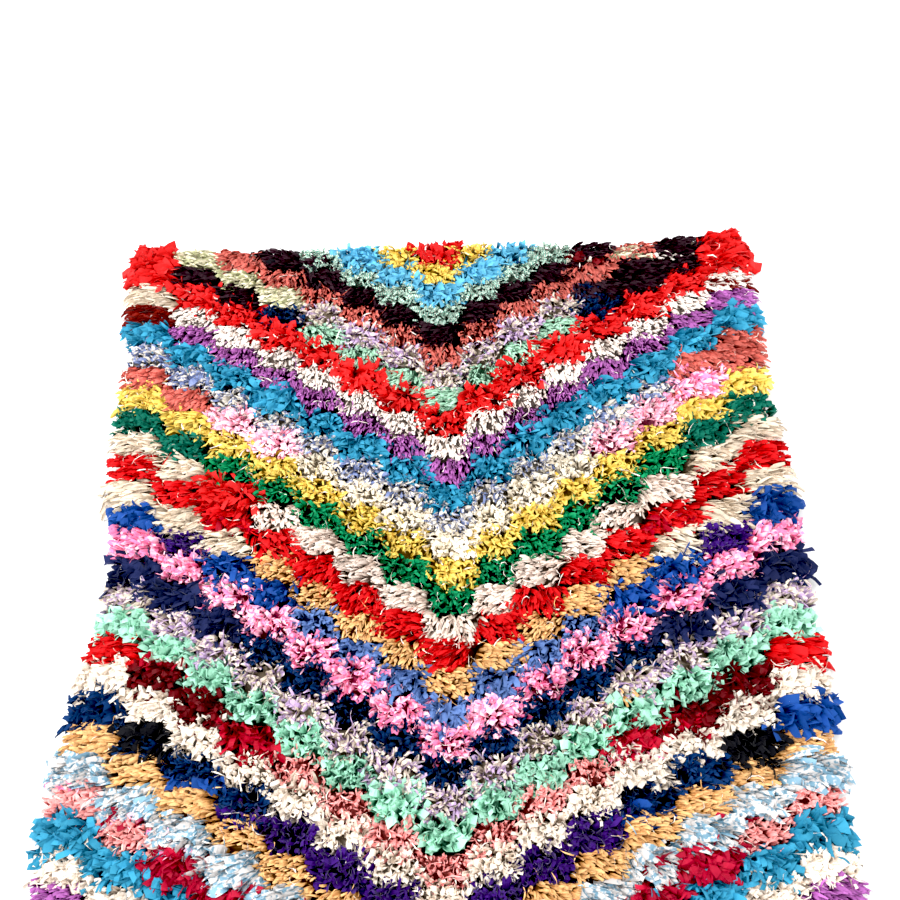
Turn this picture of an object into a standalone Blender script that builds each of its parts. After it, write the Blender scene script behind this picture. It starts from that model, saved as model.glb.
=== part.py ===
"""A boucherouite rug: rag strips knotted in rows on a woven ground, lying flat on the floor.

One thick pile slab. Each block of the weaver's grid is a low, lumpy pillow of its own, the crests lean
towards the near end, and short locks of rag stick out level with the floor all round the rim.
Metres, +Z up, near end at -Y, underside at z = 0.
"""

import math
import random

import bmesh
import bpy

# The weaver's grid: blocks across, rows along, and the beat-up that tightens towards the near end
COLUMNS = 15
ROWS = 38
GROUND_WIDTH = 1.206
FAR_ROW = 0.058
NEAR_ROW = 0.046
TIGHTENING = 0.00048
END_MARGIN = 0.008

# Faces that one block has across and along
FACES_ACROSS = 3
FACES_ALONG = 2

# Pile heights above the floor
VALLEY = 0.020
CROWN = 0.035
RIM = 0.017
UNEVEN = 0.0025

# How far a crest leans over the row in front of it, as a share of the row, and out to the sides
CREST_LEAN = 0.22
CREST_FAN = 0.007

# Slow waves of the outline: size, and waves from end to end
SIDE_SWAY = 0.005
SIDE_WAVES = 2.5
END_SWAY = 0.006
END_WAVES = 1.5

# Locks at the rim
LOCK_SHORTEST = 0.009
LOCK_LONGEST = 0.027
LOCK_TIP_SHARE = 0.34
LOCK_TIP_HEIGHT = 0.006
LOCK_LEAN = 0.006

NAME = "rug"
SEED = 31
RAG_COLOUR = (0.62, 0.30, 0.27, 1.0)
RAG_ROUGHNESS = 0.9


def clear_scene():
    for thing in list(bpy.data.objects):
        bpy.data.objects.remove(thing, do_unlink=True)


def row_pitch(row):
    """The depth of one row, which the beat-up tightens until it is even."""
    return max(FAR_ROW - TIGHTENING * row, NEAR_ROW)


def row_edges():
    """Y of each line between rows, from the far end of the pile to the near end, centred on zero."""
    edges = [0.0]
    for row in range(ROWS):
        edges.append(edges[-1] - row_pitch(row))
    middle = edges[-1] / 2
    return [edge - middle for edge in edges]


def grid_mesh():
    """A flat grid with the faces of every block; its corners sit at whole numbers of faces."""
    mesh = bmesh.new()
    across = COLUMNS * FACES_ACROSS
    along = ROWS * FACES_ALONG
    bmesh.ops.create_grid(mesh, x_segments=across, y_segments=along, size=0.5)
    for corner in mesh.verts:
        corner.co.x = round((corner.co.x + 0.5) * across)
        corner.co.y = round((0.5 - corner.co.y) * along)
    return mesh


def is_rim(step_x, step_y):
    ends = step_y in (0, ROWS * FACES_ALONG)
    return ends or step_x in (0, COLUMNS * FACES_ACROSS)


def pillow_height(step_x, step_y, chance):
    """Height of the pile at a corner: low where four blocks meet, high on a block's crest."""
    if is_rim(step_x, step_y):
        return RIM + chance.uniform(-UNEVEN, UNEVEN)
    on_crest_x = float(step_x % FACES_ACROSS != 0)
    on_crest_y = float(step_y % FACES_ALONG != 0)
    fullness = 0.7 * on_crest_x * on_crest_y + 0.15 * (on_crest_x + on_crest_y)
    return VALLEY + (CROWN - VALLEY) * fullness + chance.uniform(-UNEVEN, UNEVEN)


def place_corner(step_x, step_y, edges, chance):
    """Where a corner of the grid lies on the real rug."""
    row = min(step_y // FACES_ALONG, ROWS - 1)
    part_of_row = step_y / FACES_ALONG - row
    y = edges[row] + part_of_row * (edges[row + 1] - edges[row])
    side = 2 * step_x / (COLUMNS * FACES_ACROSS) - 1
    x = side * GROUND_WIDTH / 2
    if not is_rim(step_x, step_y):
        if step_y % FACES_ALONG:
            y -= CREST_LEAN * row_pitch(row) * chance.uniform(0.6, 1.2)
            x += CREST_FAN * side
    reach = abs(y) / edges[0]
    x += SIDE_SWAY * side * math.sin(SIDE_WAVES * math.pi * y / edges[0])
    y += END_SWAY * reach * math.sin(END_WAVES * math.pi * side + y)
    return x, y


def shape_pile(mesh, edges, chance):
    """Bends the flat grid into rows of pillows."""
    order = sorted(mesh.verts, key=lambda corner: (corner.co.y, corner.co.x))
    for corner in order:
        step_x = int(corner.co.x)
        step_y = int(corner.co.y)
        height = pillow_height(step_x, step_y, chance)
        corner.co = (*place_corner(step_x, step_y, edges, chance), height)


def close_slab(mesh):
    """Drops a wall from the rim to the floor and closes the flat underside. Returns the wall faces."""
    rim = [edge for edge in mesh.edges if edge.is_boundary]
    made = bmesh.ops.extrude_edge_only(mesh, edges=rim)["geom"]
    for corner in (item for item in made if isinstance(item, bmesh.types.BMVert)):
        corner.co.z = 0.0
    walls = [item for item in made if isinstance(item, bmesh.types.BMFace)]
    foot = [edge for edge in mesh.edges if edge.is_boundary]
    bmesh.ops.contextual_create(mesh, geom=foot)
    bmesh.ops.recalc_face_normals(mesh, faces=mesh.faces)
    return walls


def outward(middle, edges):
    """The side of the rug that a wall face belongs to, as a direction on the floor."""
    past_side = abs(middle.x) / (GROUND_WIDTH / 2)
    past_end = abs(middle.y) / edges[0]
    if past_side > past_end:
        return math.copysign(1, middle.x), 0.0
    return 0.0, math.copysign(1, middle.y)


def draw_out_locks(mesh, walls, edges, chance):
    """Pulls every wall face out into one tapering lock that lies level on the floor."""
    walls.sort(key=lambda face: tuple(round(c, 4) for c in face.calc_center_median()))
    tips = bmesh.ops.extrude_discrete_faces(mesh, faces=walls)["faces"]
    tips.sort(key=lambda face: tuple(round(c, 4) for c in face.calc_center_median()))
    for tip in tips:
        middle = tip.calc_center_median()
        out_x, out_y = outward(middle, edges)
        reach = chance.uniform(LOCK_SHORTEST, LOCK_LONGEST)
        lean = chance.uniform(-LOCK_LEAN, LOCK_LEAN)
        for corner in tip.verts:
            on_top = corner.co.z > 0
            from_middle = corner.co - middle
            corner.co.x = middle.x + LOCK_TIP_SHARE * from_middle.x + reach * out_x + lean * abs(out_y)
            corner.co.y = middle.y + LOCK_TIP_SHARE * from_middle.y + reach * out_y + lean * abs(out_x)
            corner.co.z = LOCK_TIP_HEIGHT if on_top else 0.0


def centre_on_floor(mesh):
    """Moves the rug so that the middle of its outline is at the origin."""
    for axis in (0, 1):
        places = [corner.co[axis] for corner in mesh.verts]
        middle = (min(places) + max(places)) / 2
        for corner in mesh.verts:
            corner.co[axis] -= middle


def rag_material():
    material = bpy.data.materials.new("rag_pile")
    material.use_nodes = True
    shader = material.node_tree.nodes["Principled BSDF"]
    shader.inputs["Base Color"].default_value = RAG_COLOUR
    shader.inputs["Roughness"].default_value = RAG_ROUGHNESS
    shader.inputs["Metallic"].default_value = 0.0
    return material


def make_rug(collection):
    chance = random.Random(SEED)
    edges = row_edges()
    mesh = grid_mesh()
    shape_pile(mesh, edges, chance)
    walls = close_slab(mesh)
    draw_out_locks(mesh, walls, edges, chance)
    bmesh.ops.recalc_face_normals(mesh, faces=mesh.faces)
    centre_on_floor(mesh)
    data = bpy.data.meshes.new(NAME)
    mesh.to_mesh(data)
    mesh.free()
    data.materials.append(rag_material())
    data.shade_smooth()
    data.set_sharp_from_angle(angle=math.radians(50))
    rug = bpy.data.objects.new(NAME, data)
    collection.objects.link(rug)
    return rug


def main():
    clear_scene()
    collection = bpy.data.collections.new("boucherouite_rug")
    bpy.context.scene.collection.children.link(collection)
    make_rug(collection)


main()
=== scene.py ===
# %% [markdown]
# # A boucherouite rug
# A boucherouite is knotted from worn-out clothes. The weaver tears or cuts them into short strips and ties
# each strip round a pair of warps, row after row, with a few shots of wool weft between the rows. The pile
# is therefore made of real scraps of jersey, poplin, crepe, satin and velour, and no two strips lie alike.
# This lesson grows the pile from the weaver's chart, block by block and strip by strip, and then weaves the
# ground under it.

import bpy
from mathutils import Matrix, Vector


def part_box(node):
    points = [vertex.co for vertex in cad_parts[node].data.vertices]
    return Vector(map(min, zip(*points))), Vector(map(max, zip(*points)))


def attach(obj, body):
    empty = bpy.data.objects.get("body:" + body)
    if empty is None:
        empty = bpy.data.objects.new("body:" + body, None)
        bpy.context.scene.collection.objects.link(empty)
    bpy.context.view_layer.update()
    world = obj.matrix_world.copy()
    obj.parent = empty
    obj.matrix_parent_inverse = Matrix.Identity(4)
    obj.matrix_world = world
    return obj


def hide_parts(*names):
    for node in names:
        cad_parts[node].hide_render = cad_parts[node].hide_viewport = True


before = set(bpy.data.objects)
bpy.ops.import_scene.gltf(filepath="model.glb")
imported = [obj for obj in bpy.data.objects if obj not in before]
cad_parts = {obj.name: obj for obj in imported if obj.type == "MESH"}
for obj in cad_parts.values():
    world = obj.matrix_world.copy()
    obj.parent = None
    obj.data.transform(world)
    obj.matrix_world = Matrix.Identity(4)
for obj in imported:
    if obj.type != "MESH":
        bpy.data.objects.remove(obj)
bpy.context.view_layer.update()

import math
from typing import NamedTuple

import bmesh
import bpy
import numpy as np
from mathutils import Matrix, Vector

MM = 0.001
chance = np.random.default_rng(31)
cad_low, cad_high = (np.array(corner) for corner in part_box("rug"))
print("rug's box in mm:", np.round((cad_high - cad_low) / MM))

# %% [markdown]
# ## The weaver's grid
# The weaver counts warps, so every column of the pattern is equally wide. The rows are beaten up by hand,
# so their depth drifts: they are about 50 mm deep at the far end, 55 mm a quarter of the way on, and 45 mm
# in the near third, where this weaver beat harder. A block of the pattern is one column wide and one row
# deep.

# %% Columns and rows
COLUMNS = 15
ROWS = 38
GROUND_WIDTH = 1206 * MM
PILE_LENGTH = 1876 * MM
# Depths of the rows in mm, before all of them are scaled to the pile's length
BEATEN_ROW = 44.3
LOOSER = 10.9
# Which row is the deepest, and over how many rows the depth falls off
LOOSEST_ROW = 8.5
LOOSE_ROWS = 11
BLOCK_WIDTH = GROUND_WIDTH / COLUMNS
MIDDLE_COLUMN = COLUMNS // 2

pitches = BEATEN_ROW + LOOSER * np.exp(-(((np.arange(ROWS) - LOOSEST_ROW) / LOOSE_ROWS) ** 2))
pitches *= PILE_LENGTH / pitches.sum()
row_edges = PILE_LENGTH / 2 - np.concatenate([[0], np.cumsum(pitches)])
print("rows from far to near, in mm:", np.round(pitches / MM))

# %% [markdown]
# ## The chart
# The pattern is a set of nested chevrons. The cloth of a block depends only on its row plus its distance
# from the middle column, so one short line for each stripe charts the whole rug. Where the weaver ran out
# of a cloth on the way to the sides, the line names the next cloth and how far out each goes. No weaver
# keeps to a chart for long, so the blocks where this one took another cloth are listed after it.

# %% Stripes of the chevrons
STRIPES = (
    (("red", 7),),
    (("yellow", 7),),
    (("sky", 7),),
    (("teal_stripe", 7),),
    (("plum", 7),),
    (("salmon", 7),),
    (("lilac_print", 4), ("green_print", 7)),
    (("mint", 3), ("navy", 4), ("plum", 7)),
    (("red", 7),),
    (("cream", 7),),
    (("orchid", 6), ("oxblood", 7)),
    (("turquoise", 7),),
    (("navy_print", 7),),
    (("milk", 3), ("blush", 5), ("salmon", 7)),
    (("yellow", 7),),
    (("emerald", 5), ("pine", 7)),
    (("ivory", 5), ("ecru", 7)),
    (("scarlet", 7),),
    (("tan", 4), ("ecru", 7)),
    (("denim", 3), ("royal", 5), ("violet", 6), ("royal", 7)),
    (("pink", 7),),
    (("navy", 4), ("charcoal", 7)),
    (("lilac_print", 7),),
    (("aqua", 7),),
    (("peach", 3), ("crimson", 4), ("maroon", 6), ("scarlet", 7)),
    (("chalk", 7),),
    (("violet", 3), ("navy", 5), ("black", 6), ("royal", 7)),
    (("tan", 7),),
    (("sky_print", 7),),
    (("raspberry", 5), ("peach", 7)),
    (("turquoise", 7),),
    (("chalk", 7),),
    (("orchid", 7),),
    (("yellow", 7),),
    (("emerald", 7),),
    (("ivory", 7),),
    (("scarlet", 7),),
    (("tan", 7),),
    (("denim", 7),),
    (("pink", 7),),
    (("navy", 7),),
    (("lilac_print", 7),),
    (("aqua", 7),),
    (("chalk", 7),),
    (("scarlet", 7),),
)

# Blocks where the weaver strayed from the chart, by row and by column from the middle.
STRAYED = {
    (0, -7): "red",
    (0, 7): "red",
    (0, 6): "plum",
    (1, 5): "plum",
    (2, 4): "plum",
    (2, -4): "green_print",
    (2, -7): "ecru",
    (2, 7): "cream",
    (3, 7): "orchid",
    (5, 7): "salmon",
    (6, 6): "salmon",
    (7, 6): "pink",
    (11, -5): "red",
    (12, -7): "royal",
    (13, -6): "violet",
    (19, -7): "navy",
}


def cloth_of(row, column):
    """The cloth of a block: the chart's, or what the weaver took instead."""
    if (row, column - MIDDLE_COLUMN) in STRAYED:
        return STRAYED[row, column - MIDDLE_COLUMN]
    out = abs(column - MIDDLE_COLUMN)
    for cloth, reach in STRIPES[row + out]:
        if out <= reach:
            return cloth


# %% Where the blocks lie, and the blocks of each cloth
WHOLE = 1.0


def row_middle(row):
    return (row_edges[row] + row_edges[row + 1]) / 2


def column_middle(column):
    return (column - MIDDLE_COLUMN) * BLOCK_WIDTH


blocks = {}
for row in range(ROWS):
    for column in range(COLUMNS):
        blocks.setdefault(cloth_of(row, column), []).append((row, column, WHOLE))
print(len(blocks), "cloths:", {cloth: len(places) for cloth, places in blocks.items()})

# %% [markdown]
# ## How a rag is cut
# The scissors decide what a strip looks like. Stable cloth such as poplin gives flat ribbons with square
# ends. Jersey rolls up into a soft curl, loosely woven cotton twists into a leaf with a frayed point, and
# brushed cloth breaks into fluff. Each cut is one line of sizes: how wide it is, how much of it shows, how
# many knots go into a block and how many ends each knot has, how far a strip stands on its edge, and how it
# folds, tapers and crumples. The foot of a strip is buried in the pile, so only its upper part is made.
# Real rag is about half a millimetre thick, which doesn't show.


# %% Cuts
class Cut(NamedTuple):
    across: int  # points across the strip
    along: int  # faces along it
    width: tuple  # narrowest and widest, in mm
    length: tuple  # shortest and longest, in mm
    knots: tuple  # knots across a block and along it
    ends: int  # strips that stand out of each knot
    edgewise: float  # turn towards standing on its edge, in degrees
    fold: float  # depth of the lengthwise fold, as a share of the width
    tip: float  # width of the cut end, as a share of the width
    rake: float  # slant of the cut, as a share of the width
    crumple: float  # unevenness, in mm


CUTS = {
    "ribbon": Cut(3, 4, (9, 16), (19, 30), (7, 6), 2, 50, 0.36, 0.90, 0.25, 0.9),
    "chip": Cut(3, 4, (11, 18), (16, 24), (7, 6), 2, 45, 0.36, 0.95, 0.30, 0.9),
    "strip": Cut(3, 4, (6, 10), (16, 27), (8, 6), 2, 50, 0.36, 0.85, 0.20, 0.9),
    "curl": Cut(3, 4, (4.5, 7.5), (14, 22), (7, 5), 3, 40, 0.38, 0.75, 0.15, 0.7),
    "grain": Cut(3, 3, (4.5, 7), (13, 20), (9, 7), 2, 35, 0.36, 0.62, 0.10, 0.8),
    "petal": Cut(3, 3, (7, 12), (14, 23), (9, 7), 2, 42, 0.34, 0.80, 0.20, 0.7),
    "leaf": Cut(3, 3, (5.5, 9.5), (15, 24), (8, 5), 3, 48, 0.36, 0.50, 0.10, 0.8),
    "fluff": Cut(2, 4, (3, 5), (13, 21), (7, 5), 6, 40, 0.0, 0.50, 0.10, 1.0),
    "comb": Cut(3, 4, (5, 8.5), (20, 32), (8, 4), 3, 55, 0.38, 0.60, 0.20, 1.0),
    "fray": Cut(2, 4, (1.0, 1.7), (18, 34), (3, 2), 1, 40, 0.0, 0.60, 0.0, 1.2),
}

# %% [markdown]
# ## How a block lies
# A knot stands up and its strips fall over, but to which side depends on how stiff the cloth is and on how
# it was beaten, washed and walked on. A lie is a small sum of pulls: towards the near end, to one side,
# away from the middle of the block, and at random. How deep the foot sits, against the strip's length, says
# whether it stands or lies, and the bend says how far it has drooped by its end.


# %% Lies
class Lie(NamedTuple):
    near: float  # pull towards the near end
    side: float  # pull to the left or the right, the same for the whole block
    round: float  # pull away from the middle of the block
    loose: float  # pull in any direction, the same for a whole knot
    foot: tuple  # depth of the foot below the cushion's top, in mm
    proud: tuple  # height of the end above the cushion's top, in mm
    bend: tuple  # change of slope along the strip, in degrees
    spread: float  # how far a knot's strips fan out, in degrees
    curl: float  # how far a strip turns, in degrees
    twist: float  # how far it twists, in degrees


LIES = {
    "bush": Lie(0.30, 0.2, 0.65, 0.40, (9, 15), (-4, 6), (20, 70), 38, 45, 30),
    "radial": Lie(0.20, 0.1, 1.0, 0.20, (8, 13), (-3, 6), (20, 60), 28, 35, 30),
    "upright": Lie(0.30, 0.2, 0.6, 0.40, (11, 17), (-4, 7), (10, 50), 40, 50, 28),
    "droop": Lie(1.0, 0.2, 0.4, 0.12, (6, 11), (-5, 4), (40, 90), 14, 12, 20),
    "swept": Lie(0.30, 1.2, 0.2, 0.15, (5, 10), (-4, 3), (30, 70), 12, 15, 25),
    "straying": Lie(0.4, 0.3, 0.3, 0.9, (3, 8), (-1, 5), (0, 90), 60, 110, 60),
    "tumbled": Lie(0.6, 0.6, 0.55, 0.45, (7, 13), (-5, 5), (20, 90), 40, 50, 32),
}


# %% [markdown]
# ## The cloths
# Every cloth of the chart gets its dye, the stuff it is made of, its cut and its lie, and the colour of its
# print where it has one. Dyes are sRGB hex values, matched to the cloth's mean colour in the photo. Old
# prints are blurred in the wash, and one print gives strips that are mostly ground and strips that are mostly
# flower. A blot or a sprig is a soft patch of the print's colour, and a stripe is a bar across the strip.


# %% Cloths
class Cloth(NamedTuple):
    stuff: str
    dye: str
    cut: str
    lie: str
    print_dye: str = ""
    print_kind: str = ""


CLOTHS = {
    "red": Cloth("cotton_jersey", "#D42B2B", "ribbon", "bush"),
    "scarlet": Cloth("cotton_jersey", "#C61F22", "strip", "swept"),
    "crimson": Cloth("satin", "#A01228", "ribbon", "tumbled"),
    "maroon": Cloth("satin", "#5E0A12", "ribbon", "tumbled"),
    "oxblood": Cloth("brushed_cotton", "#6E1812", "leaf", "swept"),
    "raspberry": Cloth("satin", "#A21833", "ribbon", "tumbled"),
    "peach": Cloth("cotton_jersey", "#F0A29F", "grain", "bush"),
    "salmon": Cloth("brushed_cotton", "#C3645A", "leaf", "droop"),
    "blush": Cloth("brushed_cotton", "#FCAFC6", "petal", "radial", "#FCD2DC", "blot"),
    "pink": Cloth("brushed_cotton", "#FB84B0", "petal", "radial", "#FBC0D4", "blot"),
    "tan": Cloth("calico", "#DFB079", "grain", "swept"),
    "yellow": Cloth("cotton_jersey", "#E6C866", "leaf", "tumbled"),
    "cream": Cloth("calico", "#F1E5DD", "grain", "droop"),
    "milk": Cloth("calico", "#F1E7D5", "petal", "bush"),
    "ivory": Cloth("calico", "#E0CFC3", "leaf", "swept"),
    "ecru": Cloth("calico", "#DDCDB9", "comb", "swept"),
    "chalk": Cloth("calico", "#EADDCF", "petal", "bush"),
    "mint": Cloth("crepe", "#A6CFB6", "fluff", "swept"),
    "aqua": Cloth("poplin", "#A1D5BD", "chip", "upright"),
    "emerald": Cloth("cotton_jersey", "#1A8355", "curl", "tumbled"),
    "pine": Cloth("cotton_jersey", "#1A6654", "petal", "tumbled"),
    "sky": Cloth("poplin", "#62ADCC", "ribbon", "tumbled"),
    "turquoise": Cloth("poplin", "#388CAC", "ribbon", "tumbled"),
    "denim": Cloth("gabardine", "#5A74A8", "strip", "tumbled"),
    "royal": Cloth("poplin", "#21488E", "ribbon", "tumbled"),
    "navy": Cloth("gabardine", "#12305C", "leaf", "upright"),
    "charcoal": Cloth("gabardine", "#20264A", "ribbon", "tumbled"),
    "black": Cloth("gabardine", "#16161A", "ribbon", "tumbled"),
    "violet": Cloth("velour", "#381868", "petal", "bush"),
    "plum": Cloth("satin", "#2A141E", "leaf", "swept"),
    "orchid": Cloth("brushed_cotton", "#A560A4", "fluff", "droop"),
    "lilac_print": Cloth("poplin", "#E6D9C9", "leaf", "bush", "#AC94B6", "blot"),
    "navy_print": Cloth("poplin", "#E2DACE", "leaf", "tumbled", "#6E7AA0", "blot"),
    "sky_print": Cloth("poplin", "#DED9D6", "ribbon", "swept", "#7A9DB0", "sprig"),
    "green_print": Cloth("poplin", "#E8E0C6", "leaf", "swept", "#A5A680", "blot"),
    "teal_stripe": Cloth("poplin", "#E2DED4", "leaf", "tumbled", "#2C9C88", "stripe"),
}

# %% [markdown]
# ## Scraps
# When a strip ran out in the middle of a block, the weaver took whatever lay next to the loom. So here and
# there a few ends of another cloth stand among a block's own.

# %% Scraps: cloth, row, column from the middle, and its share of a block
SCRAPS = (
    ("crimson", 12, 5, 0.25),
    ("navy", 2, 4, 0.55),
    ("plum", 0, -3, 0.35),
    ("crimson", 12, -5, 0.25),
    ("crimson", 17, -6, 0.2),
    ("crimson", 19, 5, 0.3),
    ("chalk", 17, -6, 0.15),
    ("violet", 22, -4, 0.4),
    ("violet", 13, 6, 0.3),
    ("royal", 21, -5, 0.2),
    ("royal", 22, 4, 0.25),
    ("navy", 20, -6, 0.4),
    ("tan", 18, 4, 0.1),
    ("yellow", 19, 1, 0.03),
    ("milk", 6, 0, 0.1),
    ("cream", 6, -3, 0.2),
    ("raspberry", 22, -6, 0.10),
    ("pink", 22, -6, 0.10),
    ("raspberry", 23, -5, 0.08),
    ("pink", 23, -5, 0.12),
    ("pink", 21, -7, 0.1),
    ("raspberry", 22, 6, 0.06),
    ("raspberry", 23, 5, 0.08),
    ("mint", 14, -5, 0.1),
    ("chalk", 23, -6, 0.15),
    ("turquoise", 25, -5, 0.15),
    ("navy", 0, -2, 0.1),
    ("navy", 0, 2, 0.15),
    ("chalk", 0, 4, 0.1),
    ("teal_stripe", 0, 3, 0.3),
    ("maroon", 0, 4, 0.2),
    ("green_print", 0, 5, 0.3),
    ("cream", 0, 6, 0.15),
    ("oxblood", 2, 7, 0.3),
    ("salmon", 7, 6, 0.35),
    ("pink", 20, 4, 0.25),
    ("chalk", 20, 4, 0.2),
    ("black", 0, -4, 0.2),
)
for cloth, row, out, share in SCRAPS:
    blocks[cloth].append((row, MIDDLE_COLUMN + out, share))

# %% [markdown]
# ## Where the pile can lie
# Thousands of strips needn't be simulated one by one. Together they form low cushions, one to a block, and
# a strip that falls over lands on its neighbours. So each strip gets the slope that brings its end to the
# top of the cushion, a little under or over it, and bends on its way there. A soft minimum keeps what would
# hang in the air past the rug's rim down on the floor.
# The weaver doesn't change cloths at one sharp step: the ties creep sideways from one row of knots to the
# next, so a block leans along its chevron, outwards on its far side and inwards on its near side. No two
# blocks are equally full, neither the sides nor the rows run quite straight, and the left selvedge is drawn
# in a little past the middle, where the weft was pulled too tight. How far the rows and columns have
# drifted is given in mm at a few places, which a program fitted to the photo, and the places between take
# their share. It dies out past the picture's lower edge.

# %% Cushions
GROUND_TOP = 4 * MM
VALLEY = 25 * MM
CROWN = 33 * MM
FULLNESS_SWING = 2.0 * MM
OVERHANG = 34 * MM
SOFTNESS = 2.5 * MM
FLOOR_CLEARANCE = 1.2 * MM
SIDE_SWAY = 5 * MM
SIDE_WAVES = 2.5
END_SWAY = 6 * MM
END_WAVES = 1.5
LET_OUT = 12 * MM
DRAWN_IN = 42 * MM
DRAWN_IN_AT = 120 * MM
DRAWN_IN_REACH = 210 * MM

# %% How far the pattern has crept and drifted
CREEP = 0.28
DRIFT_SIDES = (-1, -0.5, 0, 0.5, 1)
DRIFT_REACHES = (-1, -0.4, -0.05, 0.3, 0.65, 1)
ROWS_DRIFT_MM = (
    (0, 0, 0, 0, 0),
    (-25, -28, -26, -27, -28),
    (10, 9, -8, -14, -25),
    (6, 15, 0, -4, 11),
    (5, 6, -9, 5, 30),
    (8, 6, -5, -2, 20),
)
COLUMNS_DRIFT_MM = (
    (0, 0, 0, 0, 0),
    (2, 17, 1, -17, -1),
    (5, 13, 5, -15, 3),
    (12, 16, 7, -12, 4),
    (0, 10, 5, -15, 9),
    (-13, 2, -17, -29, -4),
)
HALF_BLOCK = 0.5
SIDE_BLOCK = MIDDLE_COLUMN - HALF_BLOCK
EDGE = MIDDLE_COLUMN + HALF_BLOCK
PILLOW = 4

fullness = chance.normal(0, FULLNESS_SWING, (ROWS, COLUMNS))


def crept(x, v):
    """Moves places of the straight grid along the chevrons: v goes from -0.5 to 0.5 across a row."""
    out = np.abs(x) / BLOCK_WIDTH
    step = CREEP * v
    middle = out * (HALF_BLOCK + step) / HALF_BLOCK
    side = EDGE - (EDGE - out) * (1 - step)
    moved = np.where(out < HALF_BLOCK, middle, np.where(out < SIDE_BLOCK, out + step, side))
    return np.sign(x) * BLOCK_WIDTH * np.where(out > EDGE, out, moved)


def straightened(x, v):
    """The other way: from a place on the rug to its place in the straight grid."""
    out = np.abs(x) / BLOCK_WIDTH
    step = CREEP * v
    middle = out * HALF_BLOCK / (HALF_BLOCK + step)
    side = EDGE - (EDGE - out) / (1 - step)
    moved = np.where(out < HALF_BLOCK + step, middle, np.where(out < SIDE_BLOCK + step, out - step, side))
    return np.sign(x) * BLOCK_WIDTH * np.where(out > EDGE, out, moved)


def crown_share(x, y):
    """From 0 in the valley round a block to 1 on its crown, and the block's row and column."""
    row_place = np.interp(-y, -row_edges, np.arange(ROWS + 1))
    column_place = straightened(x, HALF_BLOCK - row_place % 1) / BLOCK_WIDTH + COLUMNS / 2
    off_column = 2 * np.abs(column_place % 1 - HALF_BLOCK)
    off_row = 2 * np.abs(row_place % 1 - HALF_BLOCK)
    row = np.clip(row_place.astype(int), 0, ROWS - 1)
    column = np.clip(column_place.astype(int), 0, COLUMNS - 1)
    return (1 - off_column**PILLOW) * (1 - off_row**PILLOW), row, column


def cushion_height(x, y):
    """Height of the pile's top: crowned in each block, falling to the floor past the rim."""
    share, row, column = crown_share(x, y)
    height = VALLEY + (CROWN - VALLEY + fullness[row, column]) * share
    past_side = np.clip((np.abs(x) - GROUND_WIDTH / 2) / OVERHANG, 0, 1)
    past_end = np.clip((np.abs(y) - PILE_LENGTH / 2) / OVERHANG, 0, 1)
    return height * np.sqrt((1 - past_side) * (1 - past_end)) + FLOOR_CLEARANCE


def ground_height(x, y):
    """The lowest a strip can lie: on the ground weave, or on the floor past it."""
    on_ground = (np.abs(x) < GROUND_WIDTH / 2) & (np.abs(y) < PILE_LENGTH / 2)
    return np.where(on_ground, GROUND_TOP, FLOOR_CLEARANCE)


def soft_min(a, b):
    lower = np.minimum(a, b)
    return lower - SOFTNESS * np.log1p(np.exp(-np.abs(a - b) / SOFTNESS))


def drift(table, side, reach):
    """How far a place has drifted, between the places that the table holds."""
    along = [np.interp(reach, DRIFT_REACHES, column) for column in zip(*table)]
    place = np.interp(side, DRIFT_SIDES, np.arange(len(DRIFT_SIDES)))
    shares = [np.clip(1 - np.abs(place - number), 0, 1) for number in range(len(along))]
    return MM * sum(share * here for share, here in zip(shares, along))


def wander(points):
    """Moves points of the straight grid to where they lie on the real rug."""
    x, y = points[..., 0], points[..., 1]
    side = x / (GROUND_WIDTH / 2)
    reach = y / (PILE_LENGTH / 2)
    rows = drift(ROWS_DRIFT_MM, side, reach)
    columns = drift(COLUMNS_DRIFT_MM, side, reach)
    tight = DRAWN_IN * np.exp(-(((y - DRAWN_IN_AT) / DRAWN_IN_REACH) ** 2)) - LET_OUT
    left = ((1 - np.clip(side, -1, 1)) / 2) ** 2
    out = points.copy()
    out[..., 0] = x + SIDE_SWAY * side * np.sin(SIDE_WAVES * math.pi * reach) + columns + tight * left
    out[..., 1] = y + END_SWAY * np.abs(reach) * np.sin(END_WAVES * math.pi * side + y) + rows
    return out


# %% [markdown]
# ## Growing strips
# All the strips of a cloth are worked out at once, as arrays: one line for a strip, one column for a ring
# of points along it. The spine comes from adding up short steps whose slope and heading change along the
# strip. The points across come from a side arrow that turns with the twist, plus a fold down the middle.

# %% Spines
DEGREE = math.pi / 180
STEEPEST = 0.96
FLATTEST = -0.3
HEADROOM = 3 * MM
HIGHEST = 47.5 * MM
MIDWAY = 0.5
CURL_LATE = 1.5


def between(limits, count):
    return chance.uniform(limits[0], limits[1], count)


def directions(heading, slope):
    """Unit arrows from headings and slopes, both in radians."""
    level = np.cos(slope)
    return np.stack([level * np.cos(heading), level * np.sin(heading), np.sin(slope)], axis=-1)


def spine(root, heading, slope, bend, curl, length, along):
    """Points along each strip, and the heading and slope at each."""
    part = np.linspace(0, 1, along + 1)[None, :]
    sloping = slope[:, None] + bend[:, None] * (MIDWAY - part)
    turned = heading[:, None] + curl[:, None] * part**CURL_LATE
    arrows = directions(turned, sloping)
    steps = (arrows[:, 1:] + arrows[:, :-1]) / 2 * (length / along)[:, None, None]
    points = np.concatenate([np.zeros_like(steps[:, :1]), np.cumsum(steps, axis=1)], axis=1)
    return points + root[:, None, :], turned, sloping


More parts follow.
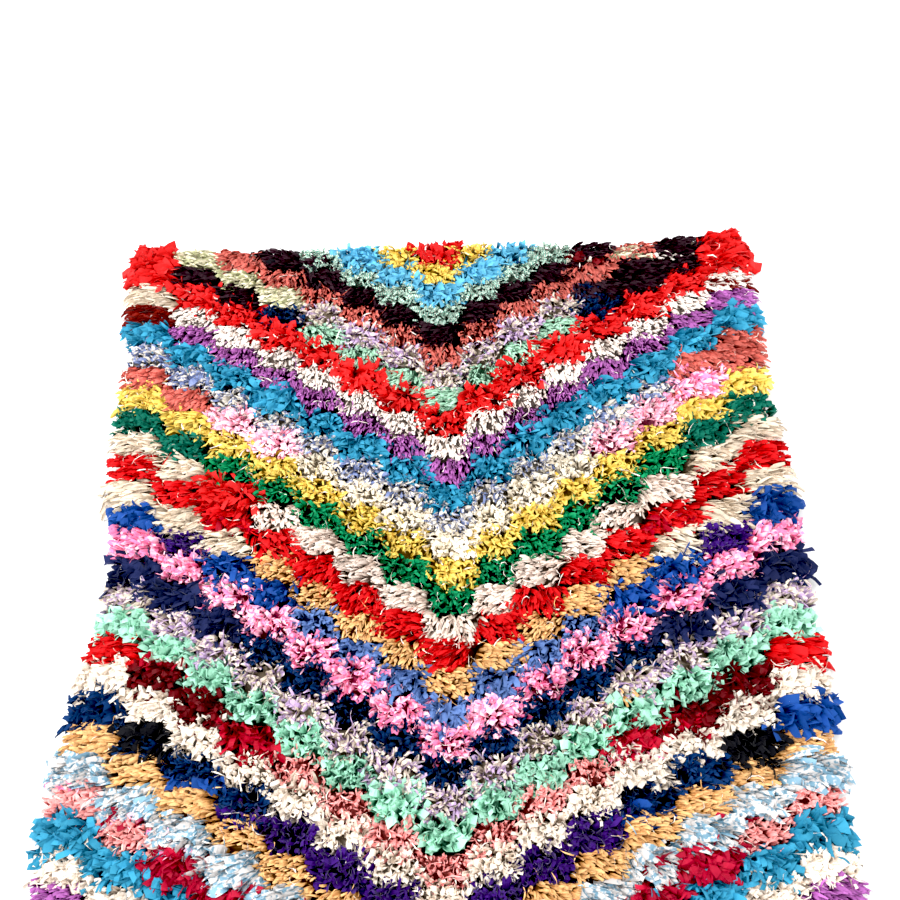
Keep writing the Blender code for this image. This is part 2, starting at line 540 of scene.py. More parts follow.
def settle(points, proud):
    """Keeps the spines from hanging in the air or sinking into the ground."""
    x, y = points[..., 0], points[..., 1]
    top = cushion_height(x, y) + np.maximum(proud, 0)[:, None] + HEADROOM
    points[..., 2] = soft_min(points[..., 2], top)
    points[..., 2] = np.maximum(points[..., 2], ground_height(x, y))
    return points


# %% Strips
class Strips(NamedTuple):
    points: np.ndarray  # strip, ring along, point across, xyz
    tone: np.ndarray  # one number for each strip
    width: np.ndarray
    length: np.ndarray


ROOT_PINCH = 0.6
FULL_FROM = 0.35
TIP_SHARE = 0.45
TIP_BLUNTNESS = 0.7
FOLD_LINE = 0.5
CRUMPLE_RISE = 0.5


def width_profile(cut, part):
    """Width along a strip: pinched in the pile, full in the middle, then as the scissors left it."""
    opening = ROOT_PINCH + (1 - ROOT_PINCH) * np.clip(part / FULL_FROM, 0, 1)
    closing = cut.tip + (1 - cut.tip) * np.clip((1 - part) / TIP_SHARE, 0, 1) ** TIP_BLUNTNESS
    return opening * closing


def sweep(cut, points, turned, slope, width, roll):
    """Lays the width of each strip across its spine."""
    part = np.linspace(0, 1, cut.along + 1)
    across = np.linspace(-1, 1, cut.across)
    side = np.stack([-np.sin(turned), np.cos(turned), np.zeros_like(turned)], axis=-1)
    normal = np.cross(side, directions(turned, slope))
    turn = roll[..., None]
    side, normal = (
        side * np.cos(turn) + normal * np.sin(turn),
        normal * np.cos(turn) - side * np.sin(turn),
    )
    half = width[:, None] * width_profile(cut, part)[None, :] / 2
    fold = cut.fold * (np.abs(across) - FOLD_LINE) * chance.choice([-1, 1], len(width))[:, None]
    placed = points[:, :, None, :] + side[:, :, None, :] * (half[:, :, None] * across)[..., None]
    placed = placed + normal[:, :, None, :] * (2 * half[:, :, None] * fold[:, None, :])[..., None]
    cut_slant = chance.uniform(-cut.rake, cut.rake, len(width))[:, None] * across * width[:, None]
    placed[:, -1] += directions(turned[:, -1], slope[:, -1])[:, None, :] * cut_slant[..., None]
    towards_end = part[None, :, None, None] ** CRUMPLE_RISE
    return placed + chance.normal(0, cut.crumple * MM / 2, placed.shape) * towards_end


# %% A block's strips
LEAN_SWING = 0.5
SIDE_FAN = 1.6
END_FAN = 0.9
FAN_POWER = 5
END_FAN_POWER = 25
STRAY = 3 * MM
BLOCK_SHIFT = 3 * MM
SIZE_SWING = 0.10
SIDE_GROWTH = 0.25
WIDTH_SPREAD = 0.24
LENGTH_SPREAD = 0.10
ROLL = 22
STRIP_TONE = 0.9
BLOCK_TONE = 0.4


class Roots(NamedTuple):
    x: np.ndarray
    y: np.ndarray
    heading: np.ndarray
    size: np.ndarray  # of the whole block's strips, against the cut's
    tone: np.ndarray  # of the whole block


def roots_of(cut, lie, row, column, share):
    """Where the strips of one block stand and lean: knots in rough rows, a few strips to each."""
    across, along = cut.knots
    u = (np.tile(np.arange(across), along) + between((0, 1), across * along)) / across - HALF_BLOCK
    v = (np.repeat(np.arange(along), across) + between((0, 1), across * along)) / along - HALF_BLOCK
    out = (column - MIDDLE_COLUMN) / MIDDLE_COLUMN
    back = 1 - 2 * (row + HALF_BLOCK) / ROWS
    leaning = out + LEAN_SWING * chance.normal(0, 1)
    loose = between((0, 2 * math.pi), len(u))
    pull_x = lie.side * leaning + lie.round * 2 * u + lie.loose * np.cos(loose) + SIDE_FAN * out**FAN_POWER
    pull_y = -lie.near + lie.round * v + lie.loose * np.sin(loose) + END_FAN * back**END_FAN_POWER
    x = np.repeat(crept(column_middle(column) + u * BLOCK_WIDTH, v), cut.ends)
    y = np.repeat(row_middle(row) + v * pitches[row], cut.ends)
    heading = np.repeat(np.arctan2(pull_y, pull_x), cut.ends)
    count = len(x)
    x += chance.normal(0, BLOCK_SHIFT) + chance.normal(0, STRAY, count)
    y += chance.normal(0, BLOCK_SHIFT) + chance.normal(0, STRAY, count)
    heading += chance.normal(0, lie.spread * DEGREE, count)
    size = np.full(count, 1 + SIZE_SWING * chance.normal(0, 1) + SIDE_GROWTH * abs(out) ** FAN_POWER)
    tone = np.full(count, chance.normal(0, 1))
    kept = np.arange(count) < max(1, round(share * count))
    return Roots(x[kept], y[kept], heading[kept], size[kept], tone[kept])


def grow(cut, lie, places, paler=0.0):
    """All the strips of one cloth that are cut and lie alike."""
    all_roots = [roots_of(cut, lie, *place) for place in places]
    roots = Roots(*(np.concatenate(field) for field in zip(*all_roots)))
    count = len(roots.x)
    width = between(cut.width, count) * MM * roots.size * chance.lognormal(0, WIDTH_SPREAD, count)
    length = between(cut.length, count) * MM * roots.size * chance.lognormal(0, LENGTH_SPREAD, count)
    foot = between(lie.foot, count) * MM
    proud = between(lie.proud, count) * MM
    bend = between(lie.bend, count) * DEGREE
    curl = chance.normal(0, lie.curl * DEGREE, count)
    slope = np.arcsin(np.clip((foot + proud) / length, FLATTEST, STEEPEST))
    foot_height = np.maximum(cushion_height(roots.x, roots.y) - foot, GROUND_TOP)
    root = np.stack([roots.x, roots.y, foot_height], axis=-1)
    points, turned, sloping = spine(root, roots.heading, slope, bend, curl, length, cut.along)
    points = settle(points, proud)
    twist = chance.normal(0, lie.twist * DEGREE, count)[:, None] * np.linspace(0, 1, cut.along + 1)
    edge_up = cut.edgewise * chance.choice([-1, 1], count) + chance.normal(0, ROLL, count)
    roll = edge_up[:, None] * DEGREE + twist
    placed = sweep(cut, points, turned, sloping, width, roll)
    placed[..., 2] = np.clip(placed[..., 2], FLOOR_CLEARANCE, HIGHEST)
    tone = STRIP_TONE * chance.normal(0, 1, count) + BLOCK_TONE * roots.tone + paler
    return Strips(placed, tone, width, length)


# %% [markdown]
# ## The heart of a block
# Below the ends that show, the feet of a hundred strips are squeezed together. Between the ends there is
# only a knobbly mass of the same cloth, made as one small mound for each block, a little lower than the
# cushion. The mound is painted dark as shade, since little light gets down between the ends.

# %% Hearts
HEART_FACES = (9, 6)
HEART_DROP = 14 * MM
HEART_KNOBBLE = 2.6 * MM
# A tone is the number of TONE_SWINGs by which a strip is lighter than its dye. The hearts' tone is painted
# shade, darker than the strips since hardly any light gets in.
HEART_PAINTED_SHADE = -4.0


def hearts(places):
    """One mound for each block, as a wide strip with its edges on the ground."""
    u = np.linspace(-HALF_BLOCK, HALF_BLOCK, HEART_FACES[0] + 1)
    v = np.linspace(HALF_BLOCK, -HALF_BLOCK, HEART_FACES[1] + 1)
    inside = (np.abs(u)[None, :] < HALF_BLOCK) & (np.abs(v)[:, None] < HALF_BLOCK)
    mounds = []
    for row, column, share in places:
        if share < WHOLE:
            continue
        x = crept(column_middle(column) + u[None, :] * BLOCK_WIDTH, v[:, None])
        y = np.broadcast_to(row_middle(row) + v[:, None] * pitches[row], inside.shape)
        z = cushion_height(x, y) - HEART_DROP + chance.normal(0, HEART_KNOBBLE, inside.shape)
        z = np.where(inside, np.maximum(z, GROUND_TOP), GROUND_TOP)
        mounds.append(np.stack([x, y, z], axis=-1))
    count = len(mounds)
    size = np.full(count, BLOCK_WIDTH)
    # Each mound's tone is painted shade
    return Strips(np.array(mounds), np.full(count, HEART_PAINTED_SHADE), size, size)


# %% [markdown]
# ## The backs of the knots
# Turned over, the rug shows a bar of cloth for every row of knots in a block, with wool weft between the
# bars. Each bar is one flat strip, a little rounded, so the underside carries the chart as well.

# %% Knot backs
KNOT_ROWS = 4
BAR_DEPTH = 8 * MM
BAR_LOW = 0.35 * MM
BAR_HIGH = 0.95 * MM


def knot_backs(places):
    """Bars of cloth under each block, one for each row of knots."""
    ends = np.array([-HALF_BLOCK, HALF_BLOCK])[:, None]
    across = np.array([-HALF_BLOCK, 0, HALF_BLOCK])[None, :]
    heights = np.array([BAR_HIGH, BAR_LOW, BAR_HIGH])[None, :]
    bars = []
    for row, column, share in places:
        if share < WHOLE:
            continue
        for number in range(KNOT_ROWS):
            v = (number + HALF_BLOCK) / KNOT_ROWS - HALF_BLOCK
            x = crept(column_middle(column) + ends * BLOCK_WIDTH, v) + 0 * across
            y = row_middle(row) + v * pitches[row] + across * BAR_DEPTH + 0 * ends
            bars.append(np.stack([x, y, heights + 0 * ends], axis=-1))
    count = len(bars)
    tone = chance.normal(0, 1, count)
    return Strips(np.array(bars), tone, np.full(count, BAR_DEPTH), np.full(count, BLOCK_WIDTH))


# %% [markdown]
# ## From arrays to a mesh
# Each cloth is one mesh, so that it can be dyed again on its own. Two numbers ride along for the shader:
# the tone of each strip, and how much light reaches each point, which the shader paints into the colour as
# shade. One UV map is in millimetres of cloth, so that a weave or a print keeps its scale. The other gives
# each strip a small cell of its own for baking.

# %% Mesh
CELL_MARGIN = 0.12
# Where the painted shade falls: down in the pile, in the valleys between blocks and towards a strip's foot
DARK_DEPTH = 15 * MM
BRIGHT_DEPTH = 6 * MM
FOOT_LIGHT = 0.60
FOOT_END = 0.6
GROUND_LIFT = 1.0 * MM
VALLEY_SHADE = 6.5 * MM
CLOTH_SIZE_MM = 400


def painted_light_share(points):
    """How much light reaches each point, which the shader paints into the colour as shade: less down in the
    pile, in the valleys between blocks and near a strip's foot. The backs of the knots, under the ground, are
    left at 1."""
    x, y = points[..., 0], points[..., 1]
    valley = 1 - crown_share(x, y)[0]
    depth = cushion_height(x, y) - points[..., 2] + VALLEY_SHADE * valley
    open_share = np.clip((DARK_DEPTH - depth) / (DARK_DEPTH - BRIGHT_DEPTH), 0, 1)
    part = np.linspace(0, 1, points.shape[1])[None, :, None]
    lit = open_share * (FOOT_LIGHT + (1 - FOOT_LIGHT) * np.clip(part / FOOT_END, 0, 1))
    return np.where(points[..., 2] < GROUND_LIFT, 1, lit)


def quads_of(strips, rings, across):
    """Corner numbers of the faces of equal strips."""
    ring = np.arange(rings - 1)[:, None] * across
    point = np.arange(across - 1)[None, :]
    first = (ring + point).reshape(-1)
    one = np.stack([first, first + 1, first + across + 1, first + across], axis=-1)
    starts = np.arange(strips)[:, None, None] * rings * across
    return (starts + one[None]).reshape(-1, 4)


def cloth_uv(batch):
    """Millimetres across and along each strip, which comes from its own place in the cloth."""
    count, rings, across, _ = batch.points.shape
    start = chance.uniform(0, CLOTH_SIZE_MM, (count, 1, 1, 2))
    sideways = np.linspace(-0.5, 0.5, across)[None, None, :] * batch.width[:, None, None] / MM
    along = np.linspace(0, 1, rings)[None, :, None] * batch.length[:, None, None] / MM
    shape = (count, rings, across)
    uv = np.stack([np.broadcast_to(sideways, shape), np.broadcast_to(along, shape)], axis=-1)
    return uv + start


def cell_uv(batch, first, cells):
    """A cell for each strip, counted from first, in one square of cells."""
    count, rings, across, _ = batch.points.shape
    side = math.ceil(math.sqrt(cells))
    number = first + np.arange(count)
    corner = np.stack([number % side, number // side], axis=-1)[:, None, None, :]
    sideways = np.linspace(CELL_MARGIN, 1 - CELL_MARGIN, across)[None, None, :]
    along = np.linspace(CELL_MARGIN, 1 - CELL_MARGIN, rings)[None, :, None]
    shape = (count, rings, across)
    inside = np.stack([np.broadcast_to(sideways, shape), np.broadcast_to(along, shape)], axis=-1)
    return (corner + inside) / side


def put_uv(mesh, name, uv, quads):
    layer = mesh.uv_layers.new(name=name)
    layer.uv.foreach_set("vector", uv[quads.reshape(-1)].astype(np.float32).reshape(-1))


def put_number(mesh, name, values):
    layer = mesh.attributes.new(name, "FLOAT", "POINT")
    layer.data.foreach_set("value", values.astype(np.float32))


def mesh_of(name, batches):
    """One mesh object from batches of strips, with its two maps and two numbers. Its faces stay flat, so
    that each crumple keeps its edge."""
    cells = sum(len(batch.tone) for batch in batches)
    points, quads, cloth_map, cell_map, tone, painted_light = [], [], [], [], [], []
    corners = 0
    first = 0
    for batch in batches:
        count, rings, across, _ = batch.points.shape
        points.append(wander(batch.points).reshape(-1, 3))
        quads.append(quads_of(count, rings, across) + corners)
        cloth_map.append(cloth_uv(batch).reshape(-1, 2))
        cell_map.append(cell_uv(batch, first, cells).reshape(-1, 2))
        tone.append(np.repeat(batch.tone, rings * across))
        painted_light.append(painted_light_share(batch.points).reshape(-1))
        corners += count * rings * across
        first += count
    points = np.concatenate(points)
    quads = np.concatenate(quads)
    mesh = bpy.data.meshes.new(name)
    mesh.from_pydata(points.tolist(), [], quads.tolist())
    put_uv(mesh, "cloth_mm", np.concatenate(cloth_map), quads)
    put_uv(mesh, "OFBake", np.concatenate(cell_map), quads)
    put_number(mesh, "tone", np.concatenate(tone))
    put_number(mesh, "painted_light", np.concatenate(painted_light))
    mesh.shade_flat()
    piece = bpy.data.objects.new(name, mesh)
    bpy.context.scene.collection.objects.link(piece)
    return piece


# %% [markdown]
# ## Finishes: tools
# A dye's hex value is sRGB, and a shader wants linear light, so one function turns one into the other.
# A second adds a node with its settings and links, and a few short ones call it for sums, mixes and bands,
# which keeps each material a short list of what it does.


# %% Colour and nodes
# How far apart Blender's bands lie at a scale of 1
BAND_PITCH = 0.31416


def linear(hex_colour):
    """An sRGB hex colour as linear RGBA."""
    channels = [int(hex_colour[i : i + 2], 16) / 255 for i in (1, 3, 5)]
    return (*(c / 12.92 if c <= 0.04045 else ((c + 0.055) / 1.055) ** 2.4 for c in channels), 1.0)


def add(tree, kind, settings=None, **inputs):
    """A node, its settings, and its inputs: a value is set, a socket is linked."""
    node = tree.nodes.new(kind)
    for name, value in (settings or {}).items():
        setattr(node, name, value)
    for name, value in inputs.items():
        key = int(name[1:]) if name[0] == "_" and name[1:].isdigit() else name.replace("_", " ")
        if isinstance(value, bpy.types.NodeSocket):
            tree.links.new(value, node.inputs[key])
        else:
            node.inputs[key].default_value = value
    return node


def calculate(tree, operation, *values):
    """One sum of up to three values or sockets."""
    inputs = {f"_{number}": value for number, value in enumerate(values)}
    return add(tree, "ShaderNodeMath", {"operation": operation}, **inputs).outputs[0]


def carried(tree, name):
    """A number that the mesh carries."""
    return add(tree, "ShaderNodeAttribute", {"attribute_name": name}).outputs["Fac"]


def mixed(tree, share, first, second):
    """A colour between two."""
    return add(tree, "ShaderNodeMix", {"data_type": "RGBA"}, _0=share, _6=first, _7=second).outputs[2]


def bands(tree, axis, pitch, place, **more):
    """Soft bands across one axis, a pitch apart."""
    settings = {"bands_direction": axis}
    scale = BAND_PITCH / pitch
    return add(tree, "ShaderNodeTexWave", settings, Vector=place, Scale=scale, **more).outputs[1]


def new_material(name):
    material = bpy.data.materials.new(name)
    material.use_nodes = True
    return material, material.node_tree, material.node_tree.nodes["Principled BSDF"]


# %% [markdown]
# ## Finishes: the stuffs
# What tells one rag from another, once the colour is taken away, is its weave and its sheen. The numbers
# are typical ones: plant fibres have an IOR near 1.5, they are matt, and brushed or knitted stuff has a
# soft bright edge where its fibres catch the light. A thread of poplin is 0.3 mm and a stitch of jersey 0.8
# mm, both finer than a pixel of the picture, so the threads are drawn 1.6 to 2.6 mm apart. Creases, 5 to 12
# mm apart, are at their real size.


# %% Stuffs
class Stuff(NamedTuple):
    roughness: float
    sheen: float
    ior: float
    thread: float  # pitch of the threads or stitches as drawn, in mm
    knit: bool  # columns of stitches rather than crossed threads
    crease: float  # size of the creases, in mm
    relief: float  # how far they stand out


STUFFS = {
    # Soft and matt, in rows of stitches
    "cotton_jersey": Stuff(0.88, 0.08, 1.50, 2.0, True, 9.0, 0.55),
    # Crisp, with clean creases
    "poplin": Stuff(0.72, 0.05, 1.50, 1.6, False, 12.0, 0.50),
    # Dry and chalky, with a coarse thread
    "calico": Stuff(0.90, 0.08, 1.50, 2.2, False, 7.0, 0.65),
    # Finely pebbled, so its light is broken up
    "crepe": Stuff(0.80, 0.10, 1.48, 1.8, False, 5.0, 0.60),
    # Dense and dry, which keeps dark dyes dark
    "gabardine": Stuff(0.82, 0.10, 1.50, 2.0, False, 10.0, 0.50),
    # A gloss that runs along each fold
    "satin": Stuff(0.38, 0.05, 1.48, 1.8, False, 11.0, 0.50),
    # Fluffy, so its edges glow a little
    "brushed_cotton": Stuff(0.95, 0.15, 1.50, 2.4, True, 6.0, 0.55),
    # Deep in its face and bright at its rim
    "velour": Stuff(0.85, 0.25, 1.50, 2.6, True, 8.0, 0.45),
}

# Painted shade deep in the pile: how far the colour is darkened and made richer where little light reaches
DEEP_BOUNCES = 2.0
DEEP_LIGHT = 0.15
PALE_DEEP_LIGHT = 0.36
TONE_SWING = 0.13
# Fibres scatter nearly all of the light that a smooth face would mirror
FIBRE_SHINE = 0.12
SHEEN_ROUGHNESS = 0.4
PRINT_MM = {"stripe": 4.2, "blot": 14.0, "sprig": 8.0}
PRINT_DETAIL = 1.5
PRINT_FROM = 0.44
PRINT_TO = 0.58
STRIP_SHARE = 0.06
THREAD_RELIEF = 0.12
CREASE_DETAIL = 3.0
CREASE_WARP = 0.6
RELIEF_DEPTH = 4 * MM


def print_mask(tree, uv, kind):
    """Where the print's colour lies: bars across the strip, or blots of about the printed flower's size."""
    size = PRINT_MM[kind]
    if kind == "stripe":
        return bands(tree, "Y", size, uv)
    noise = add(tree, "ShaderNodeTexNoise", Vector=uv, Scale=1 / size, Detail=PRINT_DETAIL).outputs[0]
    shifted = calculate(tree, "MULTIPLY_ADD", carried(tree, "tone"), STRIP_SHARE, noise)
    soft = {"interpolation_type": "SMOOTHSTEP"}
    mask = add(tree, "ShaderNodeMapRange", soft, Value=shifted, From_Min=PRINT_FROM, From_Max=PRINT_TO)
    return mask.outputs[0]


def deep_light(dye):
    """How light the painted shade stays deep in a cloth's pile: a pale cloth passes on more light from strip
    to strip.
    """
    red, green, blue, _ = linear(dye)
    return DEEP_LIGHT + PALE_DEEP_LIGHT * (red + green + blue) / 3


def dyed(tree, cloth, uv):
    """The dye or the print, with each strip's own tone, and painted shade: where less light reaches, the
    colour is painted darker and richer, as light that has bounced from strip to strip and been dyed by each
    would be."""
    dye = linear(cloth.dye)
    if cloth.print_kind:
        dye = mixed(tree, print_mask(tree, uv, cloth.print_kind), dye, linear(cloth.print_dye))
    painted_light = carried(tree, "painted_light")
    bounces = add(tree, "ShaderNodeMapRange", Value=painted_light, To_Min=DEEP_BOUNCES, To_Max=1.0).outputs[0]
    deep = add(tree, "ShaderNodeGamma", Color=dye, Gamma=bounces).outputs[0]
    value = calculate(tree, "MULTIPLY_ADD", carried(tree, "tone"), TONE_SWING, 1.0)
    deepest = deep_light(cloth.dye)
    share = add(tree, "ShaderNodeMapRange", Value=painted_light, To_Min=deepest, To_Max=1.0).outputs[0]
    both = calculate(tree, "MULTIPLY", value, share)
    return add(tree, "ShaderNodeHueSaturation", Color=deep, Value=both).outputs[0]


def relief(tree, stuff, uv):
    """Threads or stitches over creases, as a bump."""
    threads = bands(tree, "X", stuff.thread, uv)
    if not stuff.knit:
        threads = calculate(tree, "MULTIPLY", threads, bands(tree, "Y", stuff.thread, uv))
    uneven = {"Scale": 1 / stuff.crease, "Detail": CREASE_DETAIL, "Distortion": CREASE_WARP}
    creases = add(tree, "ShaderNodeTexNoise", Vector=uv, **uneven).outputs[0]
    height = calculate(tree, "MULTIPLY_ADD", threads, THREAD_RELIEF, creases)
    bump = add(tree, "ShaderNodeBump", Height=height, Strength=stuff.relief, Distance=RELIEF_DEPTH)
    return bump.outputs[0]


def cloth_material(name, cloth):
    """One cloth: the stuff's weave and sheen in the cloth's dye."""
    stuff = STUFFS[cloth.stuff]
    material, tree, shader = new_material(f"{name}_{cloth.stuff}")
    uv = add(tree, "ShaderNodeUVMap", {"uv_map": "cloth_mm"}).outputs[0]
    tree.links.new(dyed(tree, cloth, uv), shader.inputs["Base Color"])
    tree.links.new(relief(tree, stuff, uv), shader.inputs["Normal"])
    shader.inputs["Roughness"].default_value = stuff.roughness
    shader.inputs["IOR"].default_value = stuff.ior
    shader.inputs["Specular IOR Level"].default_value = FIBRE_SHINE
    shader.inputs["Sheen Weight"].default_value = stuff.sheen
    shader.inputs["Sheen Roughness"].default_value = SHEEN_ROUGHNESS
    material.diffuse_color = linear(cloth.dye)
    return material


# %% Grow every cloth
FRAYING = ("calico", "cotton_jersey", "brushed_cotton", "crepe")
FRAY_PALER = 1.6

pile = []
for name, places in blocks.items():
    cloth = CLOTHS[name]
    batches = [grow(CUTS[cloth.cut], LIES[cloth.lie], places), hearts(places), knot_backs(places)]
    if cloth.stuff in FRAYING or cloth.print_kind:
        batches.append(grow(CUTS["fray"], LIES["straying"], places, FRAY_PALER))
    piece = mesh_of(f"pile_{name}", batches)
    piece.data.materials.append(cloth_material(name, cloth))
    pile.append(piece)

# %% [markdown]
# ## Loose threads
# Torn cotton sheds its threads, and pale ones lie over every cloth that frays.

# %% Threads over the pile
THREAD = "#F3EAE0"
THREAD_SHARE = 0.5

threaded = []
for name, places in blocks.items():
    if CLOTHS[name].stuff in FRAYING:
        threaded += [(row, column, THREAD_SHARE * share) for row, column, share in places]
threads = mesh_of("loose_threads", [grow(CUTS["fray"], LIES["straying"], threaded)])
threads.data.materials.append(cloth_material("threads", Cloth("calico", THREAD, "fray", "straying")))
pile.append(threads)

triangles = {piece.name: 2 * len(piece.data.polygons) for piece in pile}
print("triangles:", triangles, "in all", sum(triangles.values()))

# %% [markdown]
# ## The ground
# Under the pile is a plain weave of dark wool, which shows at the selvedges, between the knots underneath
# and at the two ends. It is one thin slab, woven in one piece and never cut, so it is made at the size
# that it left the loom.

# %% Ground weave
GROUND_THICKNESS = 2.4 * MM
END_BAND = 12 * MM
GROUND_FACES = (30, 60)
GROUND_LENGTH = PILE_LENGTH + 2 * END_BAND
WOOL = "#3A3029"
WOOL_LIGHT = "#6B5C4C"
WOOL_ROUGHNESS = 0.95
WOOL_IOR = 1.54
WOOL_SHEEN = 0.2
WEFT_PITCH = 5 * MM
WEFT_WANDER = 1.0
WARP_PITCH = 7 * MM
YARN_RELIEF = 0.7
YARN_DEPTH = 1 * MM
# A grid's size is half its side, so this makes a unit square
UNIT_GRID = 0.5


def make_ground():
    """A slab of even faces, which wanders with the pile."""
    mesh = bpy.data.meshes.new("ground_weave")
    piece = bpy.data.objects.new("ground_weave", mesh)
    bpy.context.scene.collection.objects.link(piece)
    work = bmesh.new()
    bmesh.ops.create_grid(work, x_segments=GROUND_FACES[0], y_segments=GROUND_FACES[1], size=UNIT_GRID)
    for corner in work.verts:
        flat_place = np.array([corner.co.x * GROUND_WIDTH, corner.co.y * GROUND_LENGTH, 0])
        corner.co = wander(flat_place)
        corner.co.z = GROUND_LIFT + GROUND_THICKNESS
    work.to_mesh(mesh)
    work.free()
    thick = piece.modifiers.new("cloth", "SOLIDIFY")
    thick.thickness = GROUND_THICKNESS
    thick.offset = -1
    return piece


def wool_material():
    """Dark, matt, handspun wool, lighter on the crowns of its coarse weave."""
    material, tree, shader = new_material("handspun_wool")
    place = add(tree, "ShaderNodeTexCoord").outputs["Object"]
    weft = bands(tree, "Y", WEFT_PITCH, place, Distortion=WEFT_WANDER)
    weave = calculate(tree, "MULTIPLY", weft, bands(tree, "X", WARP_PITCH, place))
    yarn = mixed(tree, weave, linear(WOOL), linear(WOOL_LIGHT))
    bump = add(tree, "ShaderNodeBump", Height=weave, Strength=YARN_RELIEF, Distance=YARN_DEPTH)
    tree.links.new(yarn, shader.inputs["Base Color"])
    tree.links.new(bump.outputs[0], shader.inputs["Normal"])
    shader.inputs["Roughness"].default_value = WOOL_ROUGHNESS
    shader.inputs["IOR"].default_value = WOOL_IOR
    shader.inputs["Sheen Weight"].default_value = WOOL_SHEEN
    return material


wool = wool_material()
ground = make_ground()
ground.data.materials.append(wool)

# %% [markdown]
# ## Selvedges and warp ends
# The outermost warps are bound together, so a cord runs down both sides. At the two ends the warps were cut
# from the loom in pairs and knotted, and their short ends stick out under the last row of pile.

# %% Cords and warp ends
CORD_RADIUS = 2.6 * MM
CORD_SIDES = 6
CORD_RINGS = 120
CORD_PLY = 9 * MM
CORD_RIDGE = 0.12
WARP_PAIRS = 120
WARP_REACH = 0.49
WARP_FAN = 0.35
WARP_CURL = 0.5
WARP_END = Cut(2, 3, (2.0, 3.2), (12, 24), (1, 1), 1, 0, 0.0, 0.6, 0.0, 0.8)


def selvedge_points(side):
    """Rings of a two-ply cord along one side of the straight ground."""
    along = np.linspace(-GROUND_LENGTH / 2, GROUND_LENGTH / 2, CORD_RINGS)
    turn = np.linspace(0, 2 * math.pi, CORD_SIDES + 1)[None, :]
    ply = 1 + CORD_RIDGE * np.cos(2 * (turn - 2 * math.pi * along[:, None] / CORD_PLY))
    x = side * GROUND_WIDTH / 2 + CORD_RADIUS * ply * np.cos(turn)
    z = CORD_RADIUS * (1 + CORD_RIDGE) + CORD_RADIUS * ply * np.sin(turn)
    return np.stack([x, along[:, None] + 0 * turn, z], axis=-1)


def selvedges():
    size = np.full(2, GROUND_LENGTH)
    return Strips(np.array([selvedge_points(-1), selvedge_points(1)]), np.zeros(2), size, size)


def warp_ends():
    """Short yarns that stick out level past both ends of the ground."""
    end = np.repeat([-1, 1], WARP_PAIRS)
    count = len(end)
    x = np.tile(np.linspace(-WARP_REACH, WARP_REACH, WARP_PAIRS), 2) * GROUND_WIDTH
    x += chance.normal(0, STRAY / 2, count)
    root = np.stack([x, end * (GROUND_LENGTH / 2 - END_BAND), np.full(count, GROUND_TOP)], axis=-1)
    heading = end * math.pi / 2 + chance.normal(0, WARP_FAN, count)
    width = between(WARP_END.width, count) * MM
    length = between(WARP_END.length, count) * MM
    level = np.zeros(count)
    curl = chance.normal(0, WARP_CURL, count)
    points, turned, sloping = spine(root, heading, level, level, curl, length, WARP_END.along)
    placed = sweep(WARP_END, points, turned, sloping, width, np.zeros_like(turned))
    placed[..., 2] = np.maximum(placed[..., 2], FLOOR_CLEARANCE)
    return Strips(placed, chance.normal(0, 1, count), width, length)


edges = mesh_of("selvedges_and_warp_ends", [selvedges(), warp_ends()])
edges.data.materials.append(wool)
pile.append(edges)
print("edges:", len(edges.data.polygons), "faces")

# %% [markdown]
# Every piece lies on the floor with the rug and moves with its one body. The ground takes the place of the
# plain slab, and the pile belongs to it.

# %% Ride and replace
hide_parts("rug")
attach(ground, "root")
for piece in pile:
    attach(piece, "root")

# %% [markdown]
# ## Studio
# A plain white floor and soft white light from all round, with one large lamp above, as in a catalogue. The
# camera stands where a person would hold it, a little right of the middle, and looks down at the rug. The
# near end lies below the picture's lower edge.

# %% Floor, light and camera
FLOOR_SIDE = 14.0
FLOOR_COLOUR = (0.93, 0.93, 0.93, 1)
FLOOR_ROUGHNESS = 0.9
LAMP_PLACE = (-1.3, 0.5, 2.7)
LAMP_SIDE = 1.6
LAMP_POWER = 68.0
SKY_STRENGTH = 1.78
SKY_COLOUR = (1.0, 1.0, 1.0, 1)
CAMERA_RIGHT = 0.060
CAMERA_FROM_MIDDLE = 1.009
CAMERA_HEIGHT = 1.953
CAMERA_DOWN = 53.55
CAMERA_LEFT_TURN = 1.95
CAMERA_TILT = -2.81
LENS_MM = 52.0
# Light below this is printed black
BLACK_POINT = 0.016


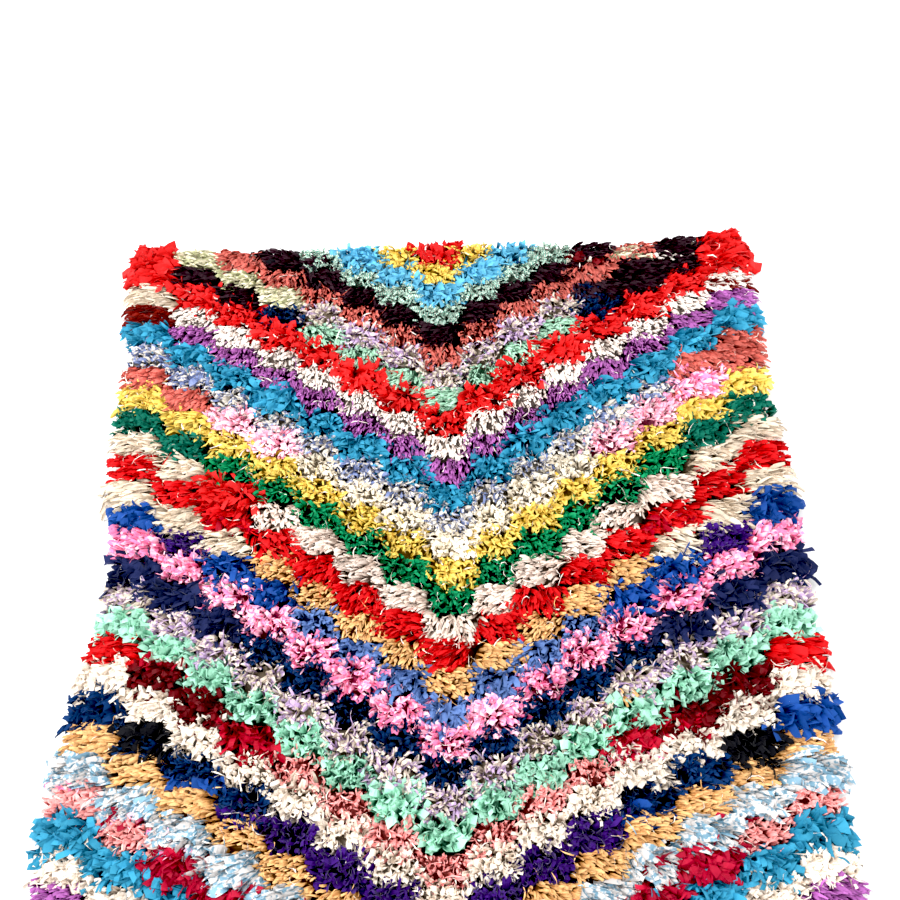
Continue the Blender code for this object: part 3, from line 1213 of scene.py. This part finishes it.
def make_floor():
    """White paper, so matt that the rug's shadow is all that shows on it."""
    mesh = bpy.data.meshes.new("floor")
    half = FLOOR_SIDE / 2
    corners = [(-half, -half, 0), (half, -half, 0), (half, half, 0), (-half, half, 0)]
    mesh.from_pydata(corners, [], [(0, 1, 2, 3)])
    floor = bpy.data.objects.new("floor", mesh)
    bpy.context.scene.collection.objects.link(floor)
    material, tree, shader = new_material("white_paper")
    shader.inputs["Base Color"].default_value = FLOOR_COLOUR
    shader.inputs["Roughness"].default_value = FLOOR_ROUGHNESS
    mesh.materials.append(material)
    return floor


def light_the_studio():
    world = bpy.data.worlds.new("studio")
    world.use_nodes = True
    sky = world.node_tree.nodes["Background"]
    sky.inputs["Color"].default_value = SKY_COLOUR
    sky.inputs["Strength"].default_value = SKY_STRENGTH
    bpy.context.scene.world = world
    lamp = bpy.data.lights.new("lamp", "AREA")
    lamp.shape = "SQUARE"
    lamp.size = LAMP_SIDE
    lamp.energy = LAMP_POWER
    holder = bpy.data.objects.new("lamp", lamp)
    holder.location = LAMP_PLACE
    holder.rotation_euler = (-Vector(LAMP_PLACE)).to_track_quat("-Z", "Y").to_euler()
    bpy.context.scene.collection.objects.link(holder)


def place_camera():
    data = bpy.data.cameras.new("camera")
    data.lens = LENS_MM
    camera = bpy.data.objects.new("camera", data)
    place = Vector((CAMERA_RIGHT, -CAMERA_FROM_MIDDLE, CAMERA_HEIGHT))
    turn = Matrix.Rotation(math.radians(CAMERA_LEFT_TURN), 4, "Z")
    down = Matrix.Rotation(math.radians(90 - CAMERA_DOWN), 4, "X")
    tilt = Matrix.Rotation(math.radians(CAMERA_TILT), 4, "Z")
    camera.matrix_world = Matrix.Translation(place) @ turn @ down @ tilt
    bpy.context.scene.collection.objects.link(camera)
    bpy.context.scene.camera = camera


def develop_picture():
    """Plain display colours, with the blacks printed full, as a catalogue does."""
    settings = bpy.context.scene.view_settings
    settings.view_transform = "Standard"
    settings.use_curve_mapping = True
    settings.curve_mapping.black_level = (BLACK_POINT, BLACK_POINT, BLACK_POINT)
    settings.curve_mapping.update()


floor = make_floor()
light_the_studio()
place_camera()
develop_picture()
